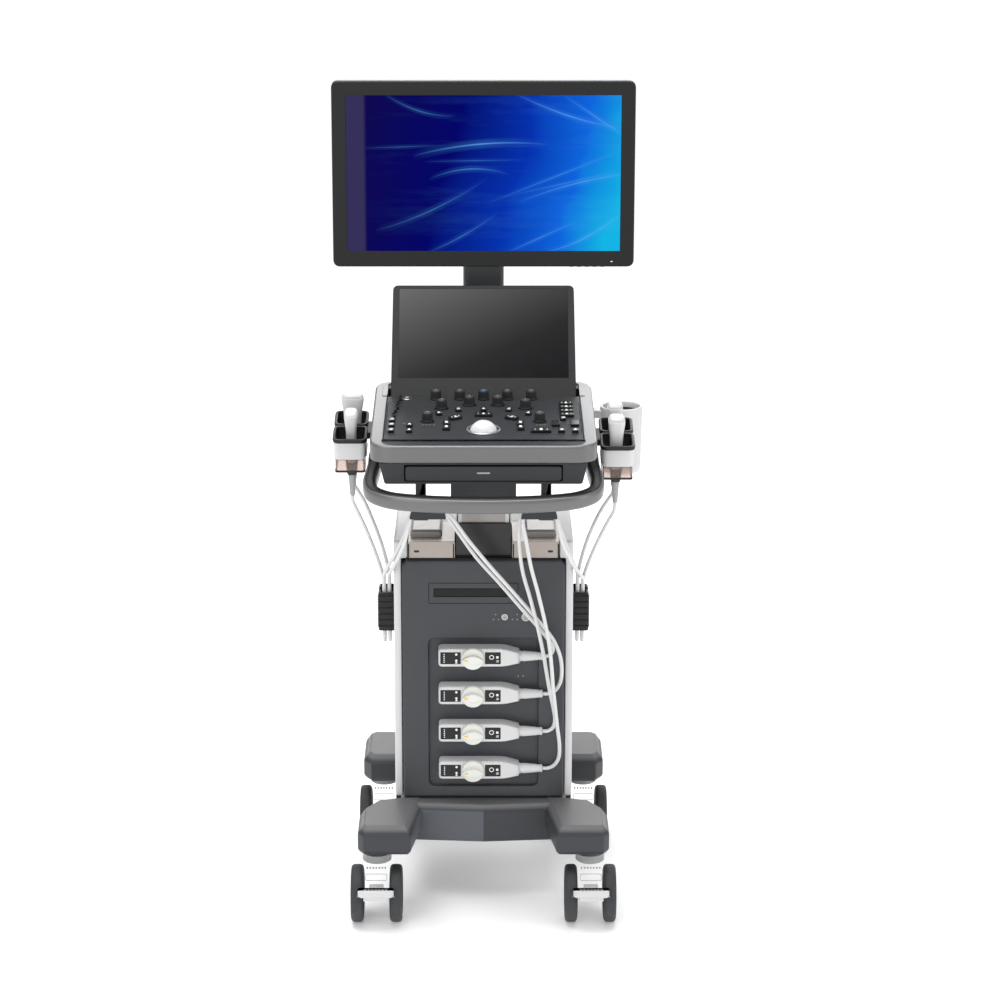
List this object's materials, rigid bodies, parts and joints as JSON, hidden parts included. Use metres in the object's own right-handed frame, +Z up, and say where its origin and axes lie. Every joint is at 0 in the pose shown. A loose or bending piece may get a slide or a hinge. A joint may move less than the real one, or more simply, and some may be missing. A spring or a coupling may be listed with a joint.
{
  "type": "ultrasound machine",
  "caption": "Cart-mounted ultrasound machine: main monitor on a post, tilting touch screen over a control console, handle, probes in holders, cabinet with plugged probes, casters",
  "frame": {"origin": "on the floor at the middle of the footprint, in the cart's left-right symmetry plane", "axes": "+Z up, -Y towards the user at the console, +X to the right as seen from the front"},
  "size_m": [0.54, 0.5753, 1.412],
  "materials": {
    "slate_plastic": "satin moulded slate plastic with fine texture",
    "dark_plastic": "satin dark charcoal plastic with fine texture",
    "white_plastic": "satin white moulded plastic",
    "rim_black": "matt black soft-touch plastic",
    "silver_paint": "satin silver-grey metallic paint",
    "taupe_paint": "satin taupe metallic paint",
    "frame_steel": "powder-coated sheet steel",
    "column_aluminium": "anodised aluminium extrusion",
    "tyre_grey": "dark grey polyurethane tread and hub",
    "screen_glass": "glossy display glass over a lit panel",
    "touch_glass": "black glossy touch panel",
    "key_black": "silicone keys with satin tops",
    "knob_black": "ribbed soft-touch knobs with a light grey cap",
    "ball_white": "polished phenolic ball",
    "cable_white": "smooth white flexible cable jacket"
  },
  "bodies": {
    "root": {"base_cover": "slate_plastic", "chassis": "frame_steel", "front_cover": "slate_plastic", "body_shell": "white_plastic", "top_deck": "taupe_paint", "cable_guide_left": "rim_black", "cable_guide_right": "rim_black", "probe_connector_1": "white_plastic", "probe_connector_2": "white_plastic", "probe_connector_3": "white_plastic", "probe_connector_4": "white_plastic", "probe_cable_front_left": "cable_white", "probe_cable_rear_left": "cable_white", "probe_cable_rear_right": "cable_white", "probe_cable_front_right": "cable_white"},
    "console": {"lift_column": "column_aluminium", "console_tub": "dark_plastic", "console_bezel": "silver_paint", "control_panel": "dark_plastic", "front_handle": "silver_paint", "probe_holder_left": "white_plastic", "probe_holder_right": "white_plastic", "gel_cup": "white_plastic", "arm_post": "slate_plastic", "probe_front_left": "white_plastic", "probe_rear_left": "white_plastic", "probe_rear_right": "white_plastic", "probe_front_right": "white_plastic"},
    "drawer": {"keyboard_drawer": "dark_plastic"},
    "touch": {"touch_screen": "touch_glass"},
    "yoke": {"monitor_yoke": "dark_plastic"},
    "monitor": {"monitor_housing": "dark_plastic", "monitor_screen": "screen_glass"},
    "ball": {"trackball": "ball_white"},
    "keys": {"keypad": "key_black"},
    "knob01": {"knob_01": "knob_black"},
    "knob02": {"knob_02": "knob_black"},
    "knob03": {"knob_03": "knob_black"},
    "knob04": {"knob_04": "knob_black"},
    "knob05": {"knob_05": "knob_black"},
    "knob06": {"knob_06": "knob_black"},
    "knob07": {"knob_07": "knob_black"},
    "knob08": {"knob_08": "knob_black"},
    "knob09": {"knob_09": "knob_black"},
    "knob10": {"knob_10": "knob_black"},
    "knob11": {"knob_11": "knob_black"},
    "lock1": {"connector_lock_1": "white_plastic"},
    "lock2": {"connector_lock_2": "white_plastic"},
    "lock3": {"connector_lock_3": "white_plastic"},
    "lock4": {"connector_lock_4": "white_plastic"},
    "caster_front_left": {"caster_fork_front_left": "white_plastic"},
    "wheels_front_left": {"caster_wheels_front_left": "tyre_grey"},
    "pedal_front_left": {"brake_pedal_front_left": "white_plastic"},
    "caster_front_right": {"caster_fork_front_right": "white_plastic"},
    "wheels_front_right": {"caster_wheels_front_right": "tyre_grey"},
    "pedal_front_right": {"brake_pedal_front_right": "white_plastic"},
    "caster_rear_left": {"caster_fork_rear_left": "white_plastic"},
    "wheels_rear_left": {"caster_wheels_rear_left": "tyre_grey"},
    "caster_rear_right": {"caster_fork_rear_right": "white_plastic"},
    "wheels_rear_right": {"caster_wheels_rear_right": "tyre_grey"}
  },
  "joints": [
    {"name": "console_lift", "type": "slide", "parent": "root", "child": "console", "axis": [0, 0, 1], "range_m": [-0.04, 0.12], "deforming": ["probe_cable_front_left", "probe_cable_rear_left", "probe_cable_rear_right", "probe_cable_front_right"]},
    {"name": "drawer_slide", "type": "slide", "parent": "console", "child": "drawer", "axis": [0, -1, 0], "range_m": [0, 0.16]},
    {"name": "touch_tilt", "type": "hinge", "parent": "console", "child": "touch", "pos_m": [0, 0.041, 0.88], "axis": [1, 0, 0], "range_deg": [-8, 10]},
    {"name": "monitor_swivel", "type": "hinge", "parent": "console", "child": "yoke", "pos_m": [0, 0.218, 1.214], "axis": [0, 0, 1], "range_deg": [-45, 45]},
    {"name": "monitor_tilt", "type": "hinge", "parent": "yoke", "child": "monitor", "pos_m": [0, 0.212, 1.245], "axis": [1, 0, 0], "range_deg": [-15, 3]},
    {"name": "trackball_roll", "type": "hinge", "parent": "console", "child": "ball", "pos_m": [0, -0.15047, 0.85942], "axis": [1, 0, 0], "continuous": true},
    {"name": "key_press", "type": "slide", "parent": "console", "child": "keys", "axis": [0, 0.091, -0.9958], "range_m": [0, 0.0015], "stiffness_N_per_m": 1500, "springref_m": -0.003},
    {"name": "knob_turn_01", "type": "hinge", "parent": "console", "child": "knob01", "pos_m": [-0.082, 0.01039, 0.89019], "axis": [0, -0.091, 0.9958], "continuous": true},
    {"name": "knob_turn_02", "type": "hinge", "parent": "console", "child": "knob02", "pos_m": [-0.041, 0.01039, 0.89019], "axis": [0, -0.091, 0.9958], "continuous": true},
    {"name": "knob_turn_03", "type": "hinge", "parent": "console", "child": "knob03", "pos_m": [0, 0.01039, 0.89019], "axis": [0, -0.091, 0.9958], "continuous": true},
    {"name": "knob_turn_04", "type": "hinge", "parent": "console", "child": "knob04", "pos_m": [0.041, 0.01039, 0.89019], "axis": [0, -0.091, 0.9958], "continuous": true},
    {"name": "knob_turn_05", "type": "hinge", "parent": "console", "child": "knob05", "pos_m": [0.082, 0.01039, 0.89019], "axis": [0, -0.091, 0.9958], "continuous": true},
    {"name": "knob_turn_06", "type": "hinge", "parent": "console", "child": "knob06", "pos_m": [-0.0243, -0.02247, 0.88719], "axis": [0, -0.091, 0.9958], "continuous": true},
    {"name": "knob_turn_07", "type": "hinge", "parent": "console", "child": "knob07", "pos_m": [0.0243, -0.02247, 0.88719], "axis": [0, -0.091, 0.9958], "continuous": true},
    {"name": "knob_turn_08", "type": "hinge", "parent": "console", "child": "knob08", "pos_m": [-0.0715, -0.04039, 0.88555], "axis": [0, -0.091, 0.9958], "continuous": true},
    {"name": "knob_turn_09", "type": "hinge", "parent": "console", "child": "knob09", "pos_m": [0.0715, -0.04039, 0.88555], "axis": [0, -0.091, 0.9958], "continuous": true},
    {"name": "knob_turn_10", "type": "hinge", "parent": "console", "child": "knob10", "pos_m": [-0.0945, -0.10911, 0.87927], "axis": [0, -0.091, 0.9958], "continuous": true},
    {"name": "knob_turn_11", "type": "hinge", "parent": "console", "child": "knob11", "pos_m": [0.0945, -0.10911, 0.87927], "axis": [0, -0.091, 0.9958], "continuous": true},
    {"name": "lock_turn_1", "type": "hinge", "parent": "root", "child": "lock1", "pos_m": [-0.0184, -0.1, 0.448], "axis": [0, 1, 0], "range_deg": [0, 90]},
    {"name": "lock_turn_2", "type": "hinge", "parent": "root", "child": "lock2", "pos_m": [-0.0184, -0.1, 0.3793], "axis": [0, 1, 0], "range_deg": [0, 90]},
    {"name": "lock_turn_3", "type": "hinge", "parent": "root", "child": "lock3", "pos_m": [-0.0184, -0.1, 0.3106], "axis": [0, 1, 0], "range_deg": [0, 90]},
    {"name": "lock_turn_4", "type": "hinge", "parent": "root", "child": "lock4", "pos_m": [-0.0184, -0.1, 0.2419], "axis": [0, 1, 0], "range_deg": [0, 90]},
    {"name": "swivel_front_left", "type": "hinge", "parent": "root", "child": "caster_front_left", "pos_m": [-0.1845, -0.16, 0.12], "axis": [0, 0, 1], "continuous": true},
    {"name": "roll_front_left", "type": "hinge", "parent": "caster_front_left", "child": "wheels_front_left", "pos_m": [-0.1845, -0.184, 0.05], "axis": [1, 0, 0], "continuous": true},
    {"name": "brake_front_left", "type": "hinge", "parent": "caster_front_left", "child": "pedal_front_left", "pos_m": [-0.1845, -0.206, 0.07], "axis": [1, 0, 0], "range_deg": [0, 12]},
    {"name": "swivel_front_right", "type": "hinge", "parent": "root", "child": "caster_front_right", "pos_m": [0.1845, -0.16, 0.12], "axis": [0, 0, 1], "continuous": true},
    {"name": "roll_front_right", "type": "hinge", "parent": "caster_front_right", "child": "wheels_front_right", "pos_m": [0.1845, -0.184, 0.05], "axis": [1, 0, 0], "continuous": true},
    {"name": "brake_front_right", "type": "hinge", "parent": "caster_front_right", "child": "pedal_front_right", "pos_m": [0.1845, -0.206, 0.07], "axis": [1, 0, 0], "range_deg": [0, 12]},
    {"name": "swivel_rear_left", "type": "hinge", "parent": "root", "child": "caster_rear_left", "pos_m": [-0.1845, 0.225, 0.12], "axis": [0, 0, 1], "continuous": true},
    {"name": "roll_rear_left", "type": "hinge", "parent": "caster_rear_left", "child": "wheels_rear_left", "pos_m": [-0.1845, 0.201, 0.05], "axis": [1, 0, 0], "continuous": true},
    {"name": "swivel_rear_right", "type": "hinge", "parent": "root", "child": "caster_rear_right", "pos_m": [0.1845, 0.225, 0.12], "axis": [0, 0, 1], "continuous": true},
    {"name": "roll_rear_right", "type": "hinge", "parent": "caster_rear_right", "child": "wheels_rear_right", "pos_m": [0.1845, 0.201, 0.05], "axis": [1, 0, 0], "continuous": true}
  ]
}
